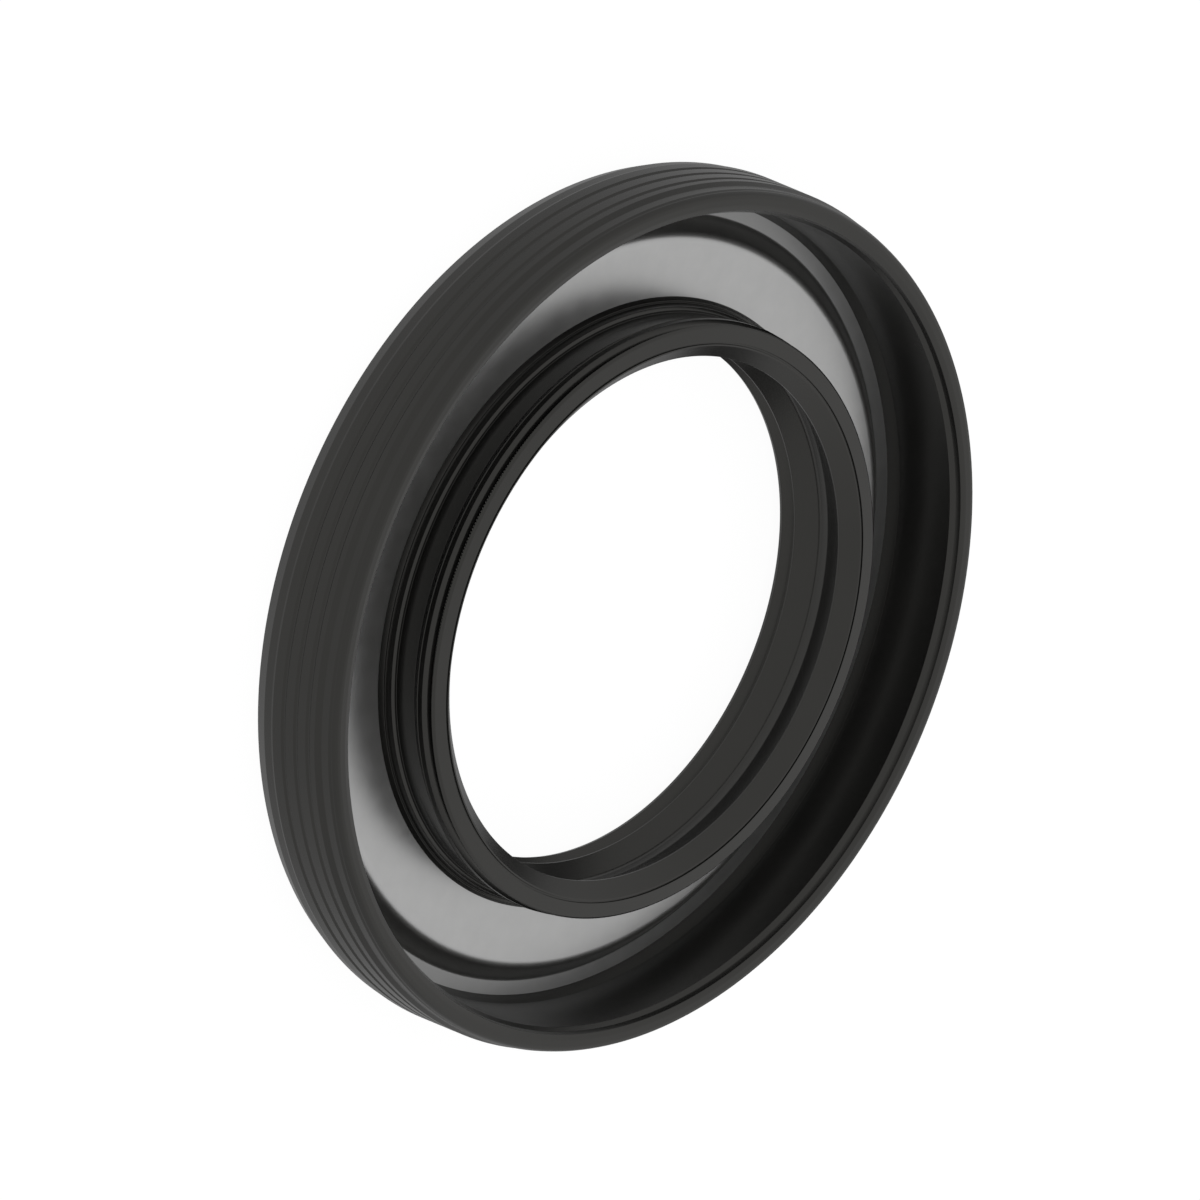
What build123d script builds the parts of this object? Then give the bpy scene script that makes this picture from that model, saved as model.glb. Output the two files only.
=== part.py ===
from build123d import *
import math
import os

# Radial shaft seal, 50 x 80 x 10 mm, rubber-covered, with a spring-loaded
# main lip, a second lip and a dust lip.
# +Z is the shaft axis and points out of the open (oil) side.
# The origin is on the axis, in the plane of the back (air side) face.
# Every piece is a section revolved about Z. Section points are (radius, z) in mm.

# ---------------------------------------------------------------- overall size
RIM_Z = 10.235           # height of the front rim over the back face
OD_R = 40.15             # radius of the rubber lands that press into an 80 mm bore

# ------------------------------------------------------------ outside diameter
BACK_EDGE_R = 39.344     # sharp outer edge of the back face
BACK_CHAMFER = (39.942, 1.40)   # top of the steep lead-in chamfer
BACK_TAPER = (40.065, 2.40)     # top of the gentle lead-in taper
LAND_Z = 2.644           # the lands start here
GROOVE_Z = (3.98, 5.515, 7.05)  # centres of the three grooves between the lands
GROOVE_HALF = 0.27       # half width of a groove at the land
GROOVE_FLOOR_HALF = 0.10 # half width of a groove's floor
GROOVE_DEPTH = 0.14
STEP_Z = 7.927           # the lands end here and a short cone steps in
FRONT_LAND_R = 39.878    # radius of the front land
FRONT_LAND_Z = (8.505, 9.362)
FRONT_NOSE = [           # rounded front corner: (radius, z, blend)
    (39.782, 9.602, 0.05), (39.774, 9.721, 0.10),
    (39.663, 9.960, 0.15), (39.511, 10.172, 0.12),
]
FRONT_FACE_R = 39.212    # outer radius of the flat rim face

# ---------------------------------------------------- rim, seen from the front
RIM_DIP = (38.614, 10.228)      # the rim face falls gently from here
RIM_IN = (38.108, 10.10) # inner edge of the rim face
RIM_STEPS = [(38.03, 9.84), (37.93, 9.80)]      # small steps in the mouth
RIM_LEDGE = (37.86, 9.55)# top of the chamfered ledge
WALL_TOP = (37.69, 9.19) # foot of the ledge and start of the long inner wall
WALL_FOOT = (37.35, 3.18)# end of the long inner wall
SKIN_FOOT = (36.845, 2.16)      # where the rubber skin ends on the steel

# ------------------------------------------------------------------ steel case
CASE_T = 1.0             # sheet thickness
LEG_OUT_R = 39.25        # outer radius of the cylindrical leg inside the wall
LEG_TOP_Z = 8.95         # top of that leg
LEG_IN_R = LEG_OUT_R - CASE_T
CONE_FOOT = (35.46, 2.03)       # foot of the cone, in the channel
CONE_HEAD = (33.77, 3.84)       # head of the cone, at the edge of the raised floor
BEND_R = 1.3             # bend between the raised floor and the cone
FLOOR_IN_Z = 3.91        # top of the raised floor at the hub
CASE_IN_R = 26.95        # inner edge of the case, inside the hub

# --------------------------------------------- hub and lip carrier, outer side
HUB_BASE_R = 28.28       # the rubber meets the raised floor here
HUB_OUT = [              # up the outside of the hub: (radius, z, blend)
    (28.003, 4.340, 0.05), (27.813, 4.311, 0.03), (27.701, 4.479, 0.05), (27.645, 4.931, 0.10),
    (27.387, 5.130, 0.10), (27.170, 5.090, 0.06), (27.030, 5.600, 4.0),
    (27.077, 7.294, 0.27), (27.704, 8.198, 0.048), (27.640, 8.261, 0.04), (27.628, 8.765, 0.032),
    (27.358, 9.122, 0.05),
]

# -------------------------------------------------- spring groove and the spring
SPRING_R = 26.30         # radius of the spring's centre line
SPRING_Z = 8.88
SPRING_COIL_R = 0.70     # outer radius of the coil
ROOF_Z = 9.706           # underside of the flange that covers the spring
MOUTH_Z = 9.269          # lower edge of the groove's mouth
SEAT_R = ROOF_Z - SPRING_Z      # radius of the groove that holds the spring
MOUTH_A = math.asin((MOUTH_Z - SPRING_Z) / SEAT_R)
SEAT_START = (SPRING_R + SEAT_R * math.cos(MOUTH_A), MOUTH_Z)
SEAT_MID_A = (MOUTH_A + 2 * math.pi + math.pi / 2) / 2
SEAT_MID = (SPRING_R + SEAT_R * math.cos(SEAT_MID_A),
            SPRING_Z + SEAT_R * math.sin(SEAT_MID_A))   # point half way round the seat

# ------------------------------------------------------------------- lip face
FLANGE = [               # front flange and lip face: (radius, z, blend)
    (27.306, ROOF_Z, 0.03), (27.500, 9.800, 0.04), (27.250, 10.020, 0.15),
    (25.95, 10.125, 0.02), (25.93, 9.97, 0.02), (25.76, 9.97, 0.02), (25.74, 10.13, 0.02),
    (25.60, 10.115, 0.03),
]

# ------------------------------------------------------------------- bore side
LIP_R = 24.27            # free radius of the main sealing edge
LIP_Z = 8.764
LIP_LAND = 0.10          # half width of the flat that the edge has
LIP_ROOT = (25.644, 6.03)
NECK = (25.74, 4.913)
TIP2 = (24.392, 3.135)   # second lip
TIP2_BACK = (24.41, 2.95)
RECESS = [(25.02, 2.78), (25.10, 2.62), (25.02, 2.30)]
DUST_TIP = (24.30, 1.60) # dust lip
DUST_BACK = (24.416, 1.197)

# ------------------------------------------------------------------- back side
HUB_BACK = [(25.15, 0.95), (28.10, 0.95), (29.35, 1.95)]
BACK_CONE = [(33.20, 1.95), (34.62, 0.0)]


def round_bend(outline):
    """Closed outline of (radius, z, blend) to its straight points and blend arcs."""
    n = len(outline)
    out = []
    for i, (r, z, rad) in enumerate(outline):
        if rad == "seat":        # arc round the spring seat, to the next point
            out.append(("a", (r, z), SEAT_MID, outline[i + 1][:2]))
            continue
        if not rad:
            out.append(("p", (r, z)))
            continue
        ax, az = outline[i - 1][:2]
        bx, bz = outline[(i + 1) % n][:2]
        ux, uz = ax - r, az - z
        vx, vz = bx - r, bz - z
        lu, lv = math.hypot(ux, uz), math.hypot(vx, vz)
        ux, uz, vx, vz = ux / lu, uz / lu, vx / lv, vz / lv
        half = math.acos(max(-1.0, min(1.0, ux * vx + uz * vz))) / 2
        cut = min(rad / math.tan(half), 0.48 * lu, 0.48 * lv)
        rad = cut * math.tan(half)
        wx, wz = ux + vx, uz + vz
        lw = math.hypot(wx, wz)
        cx, cz = r + wx / lw * rad / math.sin(half), z + wz / lw * rad / math.sin(half)
        mx, mz = cx - wx / lw * rad, cz - wz / lw * rad
        out.append(("a", (r + ux * cut, z + uz * cut), (mx, mz), (r + vx * cut, z + vz * cut)))
    return out


def rounded_section(outline):
    """Face from a closed outline of (radius, z, blend radius)."""
    items = round_bend(outline)
    with BuildSketch(Plane.XZ) as sk:
        with BuildLine():
            last = None
            first = None
            for it in items:
                start = it[1]
                if last is not None and math.dist(last, start) > 1e-6:
                    Line(last, start)
                if it[0] == "a":
                    ThreePointArc(it[1], it[2], it[3])
                    last = it[3]
                else:
                    last = it[1]
                if first is None:
                    first = start
            Line(last, first)
        make_face()
    return sk.sketch


def ring(face):
    """Solid of revolution about Z."""
    return revolve(face, axis=Axis.Z, revolution_arc=360)


# ------------------------------------------------------------------ steel case
# One pressed sheet: a leg inside the outer wall, a channel, a cone and a
# raised floor whose inner edge is buried in the hub. Points are (radius, z, blend).
case_section = [
    (CASE_IN_R, FLOOR_IN_Z, 0.0),
    (HUB_BASE_R, FLOOR_IN_Z, 0.0),
    (CONE_HEAD[0], CONE_HEAD[1], BEND_R),
    (CONE_FOOT[0], CONE_FOOT[1], 0.30),
    (SKIN_FOOT[0], SKIN_FOOT[1], 0.0),
    (LEG_IN_R, SKIN_FOOT[1] + 0.02, 0.45),
    (LEG_IN_R, LEG_TOP_Z, 0.0),
    (LEG_OUT_R, LEG_TOP_Z, 0.0),
    (LEG_OUT_R, SKIN_FOOT[1] - CASE_T, 1.3),
    (34.99, CONE_FOOT[1] - CASE_T, 1.2),
    (33.27, CONE_HEAD[1] - CASE_T, 0.3),
    (CASE_IN_R, FLOOR_IN_Z - CASE_T, 0.0),
]
case = ring(rounded_section(case_section))

# ---------------------------------------------------------------- garter spring
# A closed coil of wire, held here as the ring that its turns fill.
with BuildSketch(Plane.XZ) as coil:
    with Locations((SPRING_R, SPRING_Z)):
        Circle(SPRING_COIL_R)
spring = ring(coil.sketch)

# ------------------------------------------------------------------ rubber body
# Outline as (radius, z, blend radius). It runs up the outside, over the rim,
# down the inner wall, round the buried part of the case, up the hub, round the
# spring groove, over the lip face, down the bore and out along the back.
outline = [
    (BACK_CONE[1][0], 0.0, 0.25),
    (BACK_EDGE_R, 0.0, 0.04),
    (BACK_CHAMFER[0], BACK_CHAMFER[1], 0.25),
    (BACK_TAPER[0], BACK_TAPER[1], 0.12),
    (OD_R, LAND_Z, 0.12),
]
for gz in GROOVE_Z:
    outline += [
        (OD_R, gz - GROOVE_HALF, 0.04),
        (OD_R - GROOVE_DEPTH, gz - GROOVE_FLOOR_HALF, 0.05),
        (OD_R - GROOVE_DEPTH, gz + GROOVE_FLOOR_HALF, 0.05),
        (OD_R, gz + GROOVE_HALF, 0.04),
    ]
outline += [
    (OD_R, STEP_Z, 0.10),
    (FRONT_LAND_R, FRONT_LAND_Z[0], 0.10),
    (FRONT_LAND_R, FRONT_LAND_Z[1], 0.08),
] + FRONT_NOSE + [
    (FRONT_FACE_R, RIM_Z, 0.15),
    (RIM_DIP[0], RIM_DIP[1], 0.15),
    (RIM_IN[0], RIM_IN[1], 0.04),
    (RIM_STEPS[0][0], RIM_STEPS[0][1], 0.0),
    (RIM_STEPS[1][0], RIM_STEPS[1][1], 0.0),
    (RIM_LEDGE[0], RIM_LEDGE[1], 0.03),
    (WALL_TOP[0], WALL_TOP[1], 0.06),
    (WALL_FOOT[0], WALL_FOOT[1], 0.15),
    (SKIN_FOOT[0], SKIN_FOOT[1], 0.0),
]
# the skin and the back follow the buried faces of the case
outline += [case_section[i] for i in (5, 6, 7, 8, 9, 10, 11, 0)]
outline += [(HUB_BASE_R, FLOOR_IN_Z, 0.0)]
outline += HUB_OUT
outline += [
    (SEAT_START[0], SEAT_START[1], "seat"),
    (SPRING_R, ROOF_Z, 0.0),
] + FLANGE + [
    (LIP_R, LIP_Z + LIP_LAND, 0.05),
    (LIP_R, LIP_Z - LIP_LAND, 0.05),
    (LIP_ROOT[0], LIP_ROOT[1], 0.6),
    (NECK[0], NECK[1], 0.5),
    (TIP2[0], TIP2[1], 0.06),
    (TIP2_BACK[0], TIP2_BACK[1], 0.04),
] + [(r, z, 0.12) for r, z in RECESS] + [
    (DUST_TIP[0], DUST_TIP[1], 0.08),
    (DUST_BACK[0], DUST_BACK[1], 0.05),
    (HUB_BACK[0][0], HUB_BACK[0][1], 0.2),
    (HUB_BACK[1][0], HUB_BACK[1][1], 0.4),
    (HUB_BACK[2][0], HUB_BACK[2][1], 0.4),
    (BACK_CONE[0][0], BACK_CONE[0][1], 0.6),
]
body = ring(rounded_section(outline))

parts = {
    "rubber_body": body,
    "steel_case": case,
    "garter_spring": spring,
}

os.makedirs("parts", exist_ok=True)
for name, shape in parts.items():
    solids = shape.solids()
    solid = solids[0] if len(solids) == 1 else Compound(children=solids)
    solid.label = name
    export_step(solid, os.path.join("parts", name + ".step"))
    bb = shape.bounding_box()
    print(name, "solids", len(solids), "volume mm3 %.1f" % shape.volume,
          "box", [round(v, 3) for v in (bb.min.X, bb.min.Y, bb.min.Z, bb.max.X, bb.max.Y, bb.max.Z)])
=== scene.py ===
"""Looks of the radial shaft seal: black moulded rubber on a pressed steel case, with a coiled
garter spring in the main lip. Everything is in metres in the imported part's own frame."""

import math

import bpy
import numpy as np
from mathutils import Matrix, Vector


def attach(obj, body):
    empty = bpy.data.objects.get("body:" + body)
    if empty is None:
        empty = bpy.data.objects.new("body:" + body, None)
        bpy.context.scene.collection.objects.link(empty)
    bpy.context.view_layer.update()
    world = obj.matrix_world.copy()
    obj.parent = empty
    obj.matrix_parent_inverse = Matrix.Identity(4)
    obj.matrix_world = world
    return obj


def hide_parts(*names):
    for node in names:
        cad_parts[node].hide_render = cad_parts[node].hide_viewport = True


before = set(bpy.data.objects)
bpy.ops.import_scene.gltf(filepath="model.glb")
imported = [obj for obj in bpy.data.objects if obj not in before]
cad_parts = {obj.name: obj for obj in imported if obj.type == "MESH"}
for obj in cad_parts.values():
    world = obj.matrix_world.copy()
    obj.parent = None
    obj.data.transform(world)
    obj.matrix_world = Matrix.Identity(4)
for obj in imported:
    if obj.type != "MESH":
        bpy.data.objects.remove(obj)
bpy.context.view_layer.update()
MM = 0.001
scene = bpy.context.scene

# --------------------------------------------------------------------------- camera
# Orthographic. The shaft axis stands 49.64 degrees from the line of sight and is rolled so
# that +Z points to the right and a little down in the picture.
PX_PER_MM = 451.0 / 39.87
TH, PSI = math.radians(49.642), math.radians(22.579)
kk, ss = math.cos(TH), math.sin(TH)
U = Vector((-1.0, 0.0, 0.0))
V3 = Vector((0.0, kk, ss))
right = math.sin(PSI) * U + math.cos(PSI) * V3
up = math.cos(PSI) * U - math.sin(PSI) * V3
back = right.cross(up)
anchor = Vector((0.0, 0.0, 10.10 * MM))
dx = (600.0 - 654.438) / PX_PER_MM * MM
dy = -(600.0 - 622.612) / PX_PER_MM * MM
cam_data = bpy.data.cameras.new("camera")
cam = bpy.data.objects.new("camera", cam_data)
scene.collection.objects.link(cam)
cam_data.type = "ORTHO"
cam_data.ortho_scale = 1200.0 / PX_PER_MM * MM
rot = Matrix((right, up, back)).transposed()
cam.matrix_world = Matrix.Translation(anchor + right * dx + up * dy + back * 0.4) @ rot.to_4x4()
cam_data.clip_start, cam_data.clip_end = 0.01, 10.0
scene.camera = cam


# ------------------------------------------------------------------------ lathe tools
def arc_points(c, rad, a0, a1, step):
    n = max(1, int(math.ceil(abs(a1 - a0) / step)))
    return [(c[0] + rad * math.cos(a0 + (a1 - a0) * i / n), c[1] + rad * math.sin(a0 + (a1 - a0) * i / n))
            for i in range(n + 1)]


def blended(points, step=math.radians(16)):
    """Closed list of (radius, z, blend) in mm to a closed polyline with round blends.
    A blend given as a list is a run of points to insert after the corner itself."""
    n = len(points)
    out = []
    for i, (r, z, b) in enumerate(points):
        if isinstance(b, list):
            out.append((r, z))
            out.extend(b)
            continue
        if not b:
            out.append((r, z))
            continue
        ax, az = points[i - 1][:2]
        if isinstance(points[i - 1][2], list):
            ax, az = points[i - 1][2][-1] if points[i - 1][2] else (ax, az)
        bx, bz = points[(i + 1) % n][:2]
        ux, uz, vx, vz = ax - r, az - z, bx - r, bz - z
        lu, lv = math.hypot(ux, uz), math.hypot(vx, vz)
        ux, uz, vx, vz = ux / lu, uz / lu, vx / lv, vz / lv
        half = math.acos(max(-1.0, min(1.0, ux * vx + uz * vz))) / 2
        cut = min(b / math.tan(half), 0.48 * lu, 0.48 * lv)
        rad = cut * math.tan(half)
        wx, wz = ux + vx, uz + vz
        lw = math.hypot(wx, wz)
        cx, cz = r + wx / lw * rad / math.sin(half), z + wz / lw * rad / math.sin(half)
        a0 = math.atan2(z + uz * cut - cz, r + ux * cut - cx)
        a1 = math.atan2(z + vz * cut - cz, r + vx * cut - cx)
        while a1 - a0 > math.pi:
            a1 -= 2 * math.pi
        while a1 - a0 < -math.pi:
            a1 += 2 * math.pi
        out.extend(arc_points((cx, cz), rad, a0, a1, step))
    clean = []
    for p in out:
        if not clean or math.dist(p, clean[-1]) > 0.004:
            clean.append(p)
    if math.dist(clean[0], clean[-1]) < 0.004:
        clean.pop()
    # a point close to each end of a long straight run keeps the run's shading flat
    held = []
    for p, q in zip(clean, clean[1:] + clean[:1]):
        held.append(p)
        d = math.dist(p, q)
        if d > 0.5:
            for f in (0.03 / d, 1.0 - 0.03 / d):
                held.append((p[0] + (q[0] - p[0]) * f, p[1] + (q[1] - p[1]) * f))
    return held


def lathe(name, profile, segments):
    """Closed solid of revolution of a closed profile of (radius, z) in mm, outward normals."""
    prof = np.array(profile, float) * MM
    area = 0.5 * np.sum(prof[:, 0] * np.roll(prof[:, 1], -1) - np.roll(prof[:, 0], -1) * prof[:, 1])
    if area < 0:
        prof = prof[::-1]
    m = len(prof)
    ang = np.arange(segments) * 2 * math.pi / segments
    co = np.empty((segments, m, 3))
    co[:, :, 0] = np.cos(ang)[:, None] * prof[None, :, 0]
    co[:, :, 1] = np.sin(ang)[:, None] * prof[None, :, 0]
    co[:, :, 2] = prof[None, :, 1]
    i = np.arange(segments)[:, None]
    j = np.arange(m)[None, :]
    i2, j2 = (i + 1) % segments, (j + 1) % m
    quads = np.stack([i * m + j, i2 * m + j, i2 * m + j2, i * m + j2], axis=-1).reshape(-1, 4)
    mesh = bpy.data.meshes.new(name)
    mesh.vertices.add(segments * m)
    mesh.vertices.foreach_set("co", co.reshape(-1))
    mesh.loops.add(len(quads) * 4)
    mesh.loops.foreach_set("vertex_index", quads.reshape(-1).astype(np.int32))
    mesh.polygons.add(len(quads))
    mesh.polygons.foreach_set("loop_start", np.arange(len(quads), dtype=np.int32) * 4)
    mesh.polygons.foreach_set("use_smooth", np.ones(len(quads), bool))
    mesh.update(calc_edges=True)
    mesh.validate()
    mesh.set_sharp_from_angle(angle=math.radians(24))
    obj = bpy.data.objects.new(name, mesh)
    scene.collection.objects.link(obj)
    return obj


# --------------------------------------------------------------------- section, in mm
OD_R, RIM_Z = 40.15, 10.235
GROOVE_Z = (3.98, 5.515, 7.05)
GROOVE_HALF, GROOVE_FLOOR_HALF, GROOVE_DEPTH = 0.27, 0.10, 0.14
CASE_T, LEG_OUT_R, LEG_TOP_Z = 1.0, 39.25, 8.95
LEG_IN_R = LEG_OUT_R - CASE_T
SKIN_FOOT = (36.845, 2.16)
CONE_FOOT, CONE_HEAD = (35.46, 2.03), (33.77, 3.84)
FLOOR_IN_Z, CASE_IN_R = 3.91, 26.95
HUB_BASE_R = 28.28
SPRING_R, SPRING_Z, SPRING_COIL_R = 26.30, 8.88, 0.70
ROOF_Z = 9.706
MOUTH_Z = 9.269

case = [
    (CASE_IN_R, FLOOR_IN_Z, 0.0),
    (HUB_BASE_R, FLOOR_IN_Z, 0.0),
    (CONE_HEAD[0], CONE_HEAD[1], 1.3),
    (CONE_FOOT[0], CONE_FOOT[1], 0.30),
    (SKIN_FOOT[0], SKIN_FOOT[1], 0.0),
    (LEG_IN_R, SKIN_FOOT[1] + 0.02, 0.45),
    (LEG_IN_R, LEG_TOP_Z, 0.0),
    (LEG_OUT_R, LEG_TOP_Z, 0.0),
    (LEG_OUT_R, SKIN_FOOT[1] - CASE_T, 1.3),
    (34.99, CONE_FOOT[1] - CASE_T, 1.2),
    (33.27, CONE_HEAD[1] - CASE_T, 0.3),
    (CASE_IN_R, FLOOR_IN_Z - CASE_T, 0.0),
]

rubber = [(34.62, 0.0, 0.25), (39.344, 0.0, 0.04), (39.942, 1.40, 0.25), (40.065, 2.40, 0.12), (OD_R, 2.644, 0.12)]
for gz in GROOVE_Z:
    rubber += [(OD_R, gz - GROOVE_HALF, 0.04), (OD_R - GROOVE_DEPTH, gz - GROOVE_FLOOR_HALF, 0.05),
               (OD_R - GROOVE_DEPTH, gz + GROOVE_FLOOR_HALF, 0.05), (OD_R, gz + GROOVE_HALF, 0.04)]
seat_r = ROOF_Z - SPRING_Z
mouth_a = math.asin((MOUTH_Z - SPRING_Z) / seat_r)
seat = arc_points((SPRING_R, SPRING_Z), seat_r, mouth_a + 2 * math.pi, math.radians(90), math.radians(16))
rubber += [
    (OD_R, 7.927, 0.10), (39.878, 8.505, 0.10), (39.878, 9.362, 0.08), (39.782, 9.602, 0.05),
    (39.774, 9.721, 0.10), (39.663, 9.960, 0.15), (39.511, 10.172, 0.12), (39.212, RIM_Z, 0.15),
    (38.614, 10.228, 0.15), (38.108, 10.10, 0.04), (37.99, 9.61, 0.0),
    (37.66, 9.17, 0.06), (37.35, 3.18, 0.15), (SKIN_FOOT[0], SKIN_FOOT[1], 0.0),
]
rubber += [case[i] for i in (5, 6, 7, 8, 9, 10, 11, 0)]
rubber += [
    (HUB_BASE_R, FLOOR_IN_Z, 0.0),
    (28.003, 4.340, 0.05), (27.813, 4.311, 0.03), (27.701, 4.479, 0.05), (27.645, 4.931, 0.10),
    (27.387, 5.130, 0.10), (27.170, 5.090, 0.06), (27.030, 5.600, 4.0),
    (27.077, 7.294, 0.27), (27.704, 8.198, 0.048), (27.640, 8.261, 0.04), (27.628, 8.765, 0.032),
    (27.358, 9.122, 0.05),
    (seat[0][0], seat[0][1], seat[1:]),
    (27.306, ROOF_Z, 0.03), (27.500, 9.800, 0.04), (27.250, 10.020, 0.15),
    (25.95, 10.125, 0.02), (25.93, 9.97, 0.02), (25.76, 9.97, 0.02), (25.74, 10.13, 0.02),
    (25.60, 10.115, 0.03),
    (24.27, 8.864, 0.05), (24.27, 8.664, 0.05),
    (25.644, 6.03, 0.6), (25.74, 4.913, 0.5), (24.392, 3.135, 0.06), (24.41, 2.95, 0.04),
    (25.02, 2.78, 0.12), (25.10, 2.62, 0.12), (25.02, 2.30, 0.12),
    (24.30, 1.60, 0.08), (24.416, 1.197, 0.05),
    (25.15, 0.95, 0.2), (28.10, 0.95, 0.4), (29.35, 1.95, 0.4), (33.20, 1.95, 0.6),
]
case_prof = blended(case, math.radians(6))
rubber_prof = blended(rubber)
body = lathe("rubber_moulding", rubber_prof, 252)
shell = lathe("pressed_case", case_prof, 400)
print("profile points", len(rubber_prof), len(case_prof), "triangles", len(rubber_prof) * 504, len(case_prof) * 800)


# ------------------------------------------------------------------------ garter spring
def coil(name, ring_r, ring_z, coil_r, wire_r, turns, per_turn, sides):
    """Closed torus coil of round wire: the wire's centre line winds round the ring."""
    n = turns * per_turn
    t = np.arange(n) * 2 * math.pi / n
    w = t * turns
    rc = coil_r - wire_r
    er = np.stack([np.cos(t), np.sin(t), np.zeros(n)], 1)
    ez = np.array([0.0, 0.0, 1.0])
    centre = er * ring_r + ez * ring_z
    p = centre + rc * (np.cos(w)[:, None] * er + np.sin(w)[:, None] * ez)
    tan = np.roll(p, -1, 0) - np.roll(p, 1, 0)
    tan /= np.linalg.norm(tan, axis=1)[:, None]
    nrm = p - centre
    nrm /= np.linalg.norm(nrm, axis=1)[:, None]
    nrm -= (nrm * tan).sum(1)[:, None] * tan
    nrm /= np.linalg.norm(nrm, axis=1)[:, None]
    bi = np.cross(tan, nrm)
    a = np.arange(sides) * 2 * math.pi / sides
    ringv = p[:, None, :] + wire_r * (np.cos(a)[None, :, None] * nrm[:, None, :] + np.sin(a)[None, :, None] * bi[:, None, :])
    i = np.arange(n)[:, None]
    j = np.arange(sides)[None, :]
    i2, j2 = (i + 1) % n, (j + 1) % sides
    quads = np.stack([i * sides + j, i * sides + j2, i2 * sides + j2, i2 * sides + j], -1).reshape(-1, 4)
    mesh = bpy.data.meshes.new(name)
    mesh.vertices.add(n * sides)
    mesh.vertices.foreach_set("co", (ringv * MM).reshape(-1))
    mesh.loops.add(len(quads) * 4)
    mesh.loops.foreach_set("vertex_index", quads.reshape(-1).astype(np.int32))
    mesh.polygons.add(len(quads))
    mesh.polygons.foreach_set("loop_start", np.arange(len(quads), dtype=np.int32) * 4)
    mesh.polygons.foreach_set("use_smooth", np.ones(len(quads), bool))
    mesh.update(calc_edges=True)
    mesh.validate()
    obj = bpy.data.objects.new(name, mesh)
    scene.collection.objects.link(obj)
    return obj


spring = coil("garter_spring_coil", SPRING_R, SPRING_Z, SPRING_COIL_R, 0.14, 572, 14, 6)


# ---------------------------------------------------------------------------- materials
def new_material(name):
    m = bpy.data.materials.new(name)
    m.use_nodes = True
    nt = m.node_tree
    for n in list(nt.nodes):
        nt.nodes.remove(n)
    out = nt.nodes.new("ShaderNodeOutputMaterial")
    p = nt.nodes.new("ShaderNodeBsdfPrincipled")
    nt.links.new(p.outputs["BSDF"], out.inputs["Surface"])
    return m, nt, p


def rubber_material():
    m, nt, p = new_material("moulded_rubber")
    L = nt.links.new
    p.inputs["IOR"].default_value = 1.5
    p.inputs["Specular IOR Level"].default_value = 0.5
    p.inputs["Specular Tint"].default_value = (1.0, 0.985, 0.93, 1.0)
    tc = nt.nodes.new("ShaderNodeTexCoord")
    fine = nt.nodes.new("ShaderNodeTexNoise")
    fine.inputs["Scale"].default_value = 9000.0
    fine.inputs["Detail"].default_value = 3.0
    L(tc.outputs["Object"], fine.inputs["Vector"])
    broad = nt.nodes.new("ShaderNodeTexNoise")
    broad.inputs["Scale"].default_value = 160.0
    broad.inputs["Detail"].default_value = 5.0
    L(tc.outputs["Object"], broad.inputs["Vector"])
    ramp = nt.nodes.new("ShaderNodeValToRGB")
    ramp.color_ramp.elements[0].position = 0.3
    ramp.color_ramp.elements[0].color = (0.0052, 0.0051, 0.0049, 1)
    ramp.color_ramp.elements[1].position = 0.75
    ramp.color_ramp.elements[1].color = (0.0074, 0.0072, 0.0068, 1)
    L(broad.outputs["Fac"], ramp.inputs["Fac"])
    L(ramp.outputs["Color"], p.inputs["Base Color"])
    rr = nt.nodes.new("ShaderNodeMapRange")
    rr.inputs["To Min"].default_value = 0.23
    rr.inputs["To Max"].default_value = 0.29
    L(broad.outputs["Fac"], rr.inputs["Value"])
    L(rr.outputs["Result"], p.inputs["Roughness"])
    bump = nt.nodes.new("ShaderNodeBump")
    bump.inputs["Strength"].default_value = 0.06
    bump.inputs["Distance"].default_value = 0.00002
    L(fine.outputs["Fac"], bump.inputs["Height"])
    L(bump.outputs["Normal"], p.inputs["Normal"])
    return m


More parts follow.
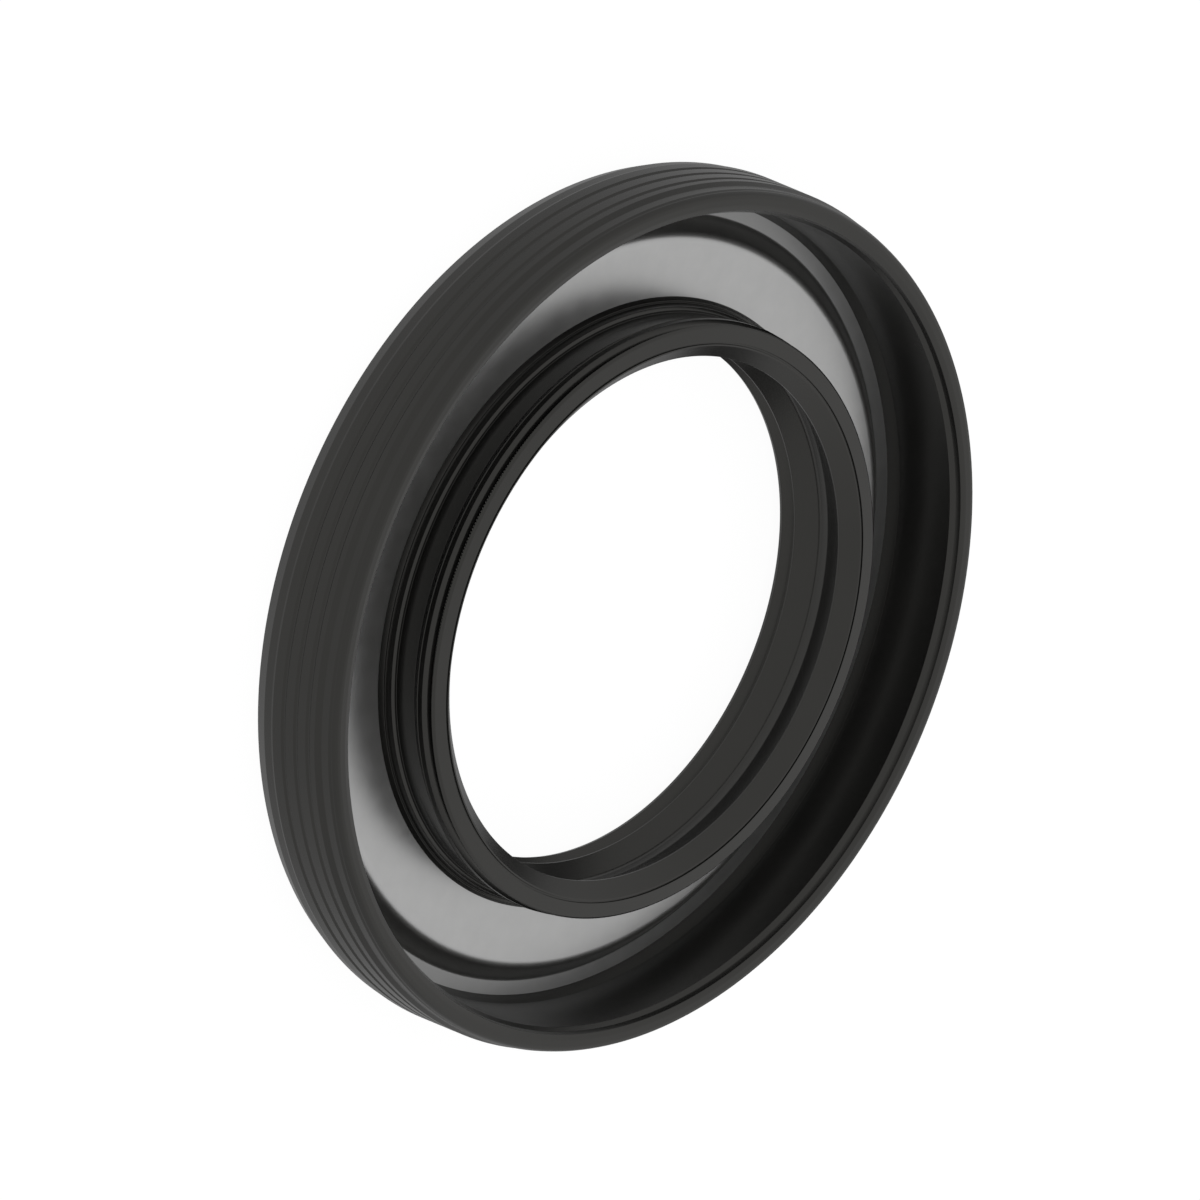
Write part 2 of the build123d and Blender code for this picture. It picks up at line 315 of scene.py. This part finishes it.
def steel_material():
    m, nt, p = new_material("phosphated_steel")
    L = nt.links.new
    p.inputs["Metallic"].default_value = 1.0
    tc = nt.nodes.new("ShaderNodeTexCoord")
    broad = nt.nodes.new("ShaderNodeTexNoise")
    broad.inputs["Scale"].default_value = 500.0
    broad.inputs["Detail"].default_value = 6.0
    L(tc.outputs["Object"], broad.inputs["Vector"])
    ramp = nt.nodes.new("ShaderNodeValToRGB")
    ramp.color_ramp.elements[0].position = 0.3
    ramp.color_ramp.elements[0].color = (0.445, 0.445, 0.443, 1)
    ramp.color_ramp.elements[1].position = 0.7
    ramp.color_ramp.elements[1].color = (0.475, 0.475, 0.472, 1)
    L(broad.outputs["Fac"], ramp.inputs["Fac"])
    # painted shade: the steel's colour is scaled down to 0.54 in the channel outside the cone, standing for the
    # shade that falls in that recess
    sep = nt.nodes.new("ShaderNodeSeparateXYZ")
    L(tc.outputs["Object"], sep.inputs["Vector"])
    flat = nt.nodes.new("ShaderNodeCombineXYZ")
    L(sep.outputs["X"], flat.inputs["X"])
    L(sep.outputs["Y"], flat.inputs["Y"])
    rad = nt.nodes.new("ShaderNodeVectorMath")
    rad.operation = "LENGTH"
    L(flat.outputs["Vector"], rad.inputs[0])
    painted_channel_shade = nt.nodes.new("ShaderNodeMapRange")
    painted_channel_shade.inputs["From Min"].default_value = 0.0350
    painted_channel_shade.inputs["From Max"].default_value = 0.0356
    painted_channel_shade.inputs["To Min"].default_value = 1.0
    painted_channel_shade.inputs["To Max"].default_value = 0.54
    L(rad.outputs["Value"], painted_channel_shade.inputs["Value"])
    tint = nt.nodes.new("ShaderNodeVectorMath")
    tint.operation = "SCALE"
    L(ramp.outputs["Color"], tint.inputs[0])
    L(painted_channel_shade.outputs["Result"], tint.inputs["Scale"])
    L(tint.outputs["Vector"], p.inputs["Base Color"])
    rr = nt.nodes.new("ShaderNodeMapRange")
    rr.inputs["To Min"].default_value = 0.29
    rr.inputs["To Max"].default_value = 0.36
    L(broad.outputs["Fac"], rr.inputs["Value"])
    L(rr.outputs["Result"], p.inputs["Roughness"])
    return m


def spring_material():
    m, nt, p = new_material("spring_wire")
    L = nt.links.new
    p.inputs["Metallic"].default_value = 1.0
    tc = nt.nodes.new("ShaderNodeTexCoord")
    n = nt.nodes.new("ShaderNodeTexNoise")
    n.inputs["Scale"].default_value = 1500.0
    L(tc.outputs["Object"], n.inputs["Vector"])
    # painted shade: the wire is coloured near black to stand for the shade it lies in deep inside its slot
    ramp = nt.nodes.new("ShaderNodeValToRGB")
    ramp.color_ramp.elements[0].color = (0.06, 0.058, 0.055, 1)
    ramp.color_ramp.elements[1].color = (0.12, 0.118, 0.112, 1)
    L(n.outputs["Fac"], ramp.inputs["Fac"])
    L(ramp.outputs["Color"], p.inputs["Base Color"])
    p.inputs["Roughness"].default_value = 0.3
    return m


for obj, mat, node, slot in (
    (body, rubber_material(), "rubber_body", "rubber"),
    (shell, steel_material(), "steel_case", "case_steel"),
    (spring, spring_material(), "garter_spring", "spring_steel"),
):
    obj.data.materials.append(mat)
    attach(obj, "root")
    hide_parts(node)

# ------------------------------------------------------------------------ floor and light
bpy.ops.mesh.primitive_circle_add(vertices=96, radius=3.0, fill_type="NGON", location=(0, 0, -0.00002))
floor = bpy.context.object
floor.name = "floor"
fm, fnt, fp = new_material("pale_floor")
fp.inputs["Base Color"].default_value = (0.08, 0.08, 0.08, 1)
fp.inputs["Roughness"].default_value = 0.9
fp.inputs["Specular IOR Level"].default_value = 0.0
fp.inputs["Emission Color"].default_value = (1, 1, 1, 1)
fp.inputs["Emission Strength"].default_value = 0.955
floor.data.materials.append(fm)
floor.visible_glossy = False
floor.visible_diffuse = False

LIGHT_TOP, LIGHT_FRONT, LIGHT_BACK = 0.86, 0.83, 0.38

# Soft studio light all round: pale overhead, and below the horizon bright from the front (-Y)
# and dim from behind (+Y).
world = bpy.data.worlds.new("studio")
world.use_nodes = True
scene.world = world
wt = world.node_tree
bg = wt.nodes["Background"]
tc = wt.nodes.new("ShaderNodeTexCoord")
sep = wt.nodes.new("ShaderNodeSeparateXYZ")
wt.links.new(tc.outputs["Generated"], sep.inputs["Vector"])
low = wt.nodes.new("ShaderNodeMapRange")
low.inputs["From Min"].default_value, low.inputs["From Max"].default_value = -0.80, 0.90
low.inputs["To Min"].default_value, low.inputs["To Max"].default_value = LIGHT_FRONT, LIGHT_BACK
wt.links.new(sep.outputs["Y"], low.inputs["Value"])
rise = wt.nodes.new("ShaderNodeMapRange")
rise.interpolation_type = "SMOOTHSTEP"
rise.inputs["From Min"].default_value, rise.inputs["From Max"].default_value = -0.20, 0.55
wt.links.new(sep.outputs["Z"], rise.inputs["Value"])
mix = wt.nodes.new("ShaderNodeMix")
mix.data_type = "FLOAT"
mix.inputs["B"].default_value = LIGHT_TOP
wt.links.new(rise.outputs["Result"], mix.inputs["Factor"])
wt.links.new(low.outputs["Result"], mix.inputs["A"])
grey = wt.nodes.new("ShaderNodeCombineColor")
for c in ("Red", "Green", "Blue"):
    wt.links.new(mix.outputs["Result"], grey.inputs[c])
wt.links.new(grey.outputs["Color"], bg.inputs["Color"])
bg.inputs["Strength"].default_value = 1.0
scene.view_settings.view_transform = "Standard"
